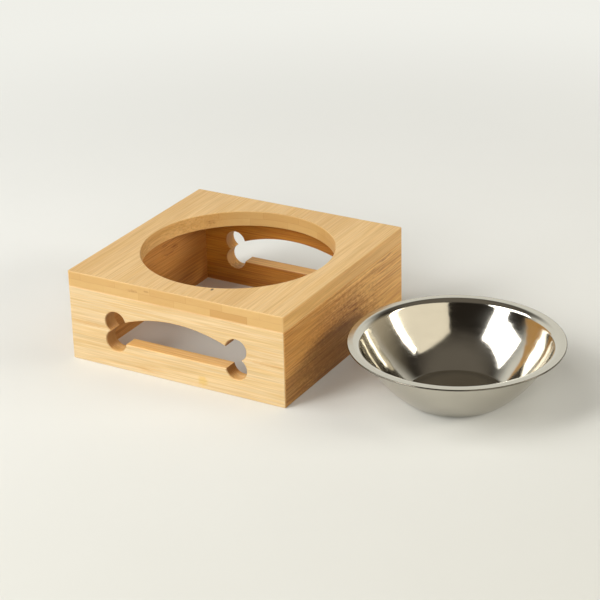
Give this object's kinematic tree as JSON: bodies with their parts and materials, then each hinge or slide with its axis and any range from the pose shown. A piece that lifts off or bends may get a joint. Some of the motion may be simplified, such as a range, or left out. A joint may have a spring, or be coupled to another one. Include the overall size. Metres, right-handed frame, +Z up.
{
  "type": "pet bowl stand",
  "caption": "Low square bamboo stand with a round hole in its top board and bone-shaped cut-outs in two walls, and the pressed steel pet bowl that drops into it, set alongside.",
  "frame": {"origin": "middle of the whole set's footprint, on the table that stand and bowl rest on", "axes": "+X along the front wall to the right, towards the bowl; +Y from the front wall to the back wall; +Z up"},
  "size_m": [0.3524, 0.1824, 0.07],
  "materials": {
    "bamboo": "sanded, thin satin varnish",
    "joinery_wood": "plain, glued in",
    "stainless_steel": "polished inside, satin outside"
  },
  "bodies": {
    "stand": {"top_board": "bamboo", "front_wall": "bamboo", "right_wall": "bamboo", "back_wall": "bamboo", "left_wall": "bamboo", "front_wall_left_dowel": "joinery_wood", "front_wall_right_dowel": "joinery_wood", "right_wall_left_dowel": "joinery_wood", "right_wall_right_dowel": "joinery_wood", "back_wall_left_dowel": "joinery_wood", "back_wall_right_dowel": "joinery_wood", "left_wall_left_dowel": "joinery_wood", "left_wall_right_dowel": "joinery_wood", "front_right_spline": "joinery_wood", "back_right_spline": "joinery_wood", "back_left_spline": "joinery_wood", "front_left_spline": "joinery_wood"},
    "bowl": {"bowl": "stainless_steel"}
  },
  "joints": [
    {"name": "bowl_lift", "type": "slide", "parent": "stand", "child": "bowl", "axis": [0, 0, 1], "range_m": [0, 0.1]}
  ]
}
